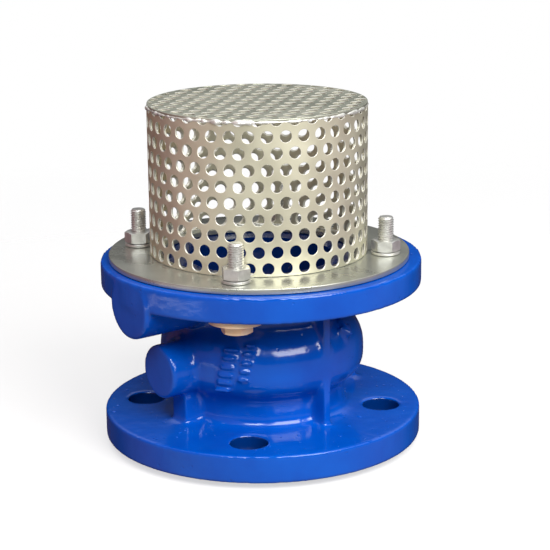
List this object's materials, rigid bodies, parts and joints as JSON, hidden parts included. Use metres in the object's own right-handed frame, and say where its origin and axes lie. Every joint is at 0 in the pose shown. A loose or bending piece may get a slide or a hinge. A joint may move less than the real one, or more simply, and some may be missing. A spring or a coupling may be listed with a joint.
{
  "type": "foot valve",
  "caption": "Flanged foot valve: a spring-closed disc in a short cast body, with a perforated strainer basket bolted over its inlet.",
  "frame": {"origin": "centre of the outlet flange's raised face, on which the valve stands", "axes": "+Z along the flow axis from the outlet towards the strainer; -Y towards the front, where one bolt stands nearly in the middle"},
  "size_m": [0.166, 0.166, 0.1778],
  "materials": {
    "blue_coating": "glossy epoxy over a rough casting",
    "seat_bronze": "machined",
    "black_rubber": "matte",
    "spider_bronze": "as cast",
    "bush_polymer": "machined",
    "spring_steel": "drawn wire",
    "plate_steel": "satin mill finish",
    "basket_steel": "satin perforated sheet",
    "disc_steel": "machined",
    "bolt_steel": "bright rolled thread",
    "gold_passivated_steel": "gold passivated zinc"
  },
  "bodies": {
    "valve": {"valve_body": "blue_coating", "seat_ring": "seat_bronze", "seat_oring": "black_rubber", "guide_spider": "spider_bronze", "guide_bush": "bush_polymer", "closing_spring": "spring_steel", "strainer_plate": "plate_steel", "basket_shell": "basket_steel", "basket_end": "basket_steel", "bolt_1": "bolt_steel", "flange_washer_1": "gold_passivated_steel", "plate_washer_1": "bolt_steel", "plate_nut_1": "bolt_steel", "bolt_2": "bolt_steel", "flange_washer_2": "gold_passivated_steel", "plate_washer_2": "bolt_steel", "plate_nut_2": "bolt_steel", "bolt_3": "bolt_steel", "flange_washer_3": "gold_passivated_steel", "plate_washer_3": "bolt_steel", "plate_nut_3": "bolt_steel", "bolt_4": "bolt_steel", "flange_washer_4": "gold_passivated_steel", "plate_washer_4": "bolt_steel", "plate_nut_4": "bolt_steel"},
    "disc": {"valve_disc": "disc_steel", "disc_seal": "black_rubber", "seal_retainer": "disc_steel", "retainer_nut": "disc_steel", "guide_stem": "disc_steel"}
  },
  "joints": [
    {"name": "disc_lift", "type": "slide", "parent": "valve", "child": "disc", "axis": [0, 0, -1], "range_m": [0, 0.013], "stiffness_N_per_m": 1300, "springref_m": -0.009, "deforming": ["closing_spring"]}
  ]
}
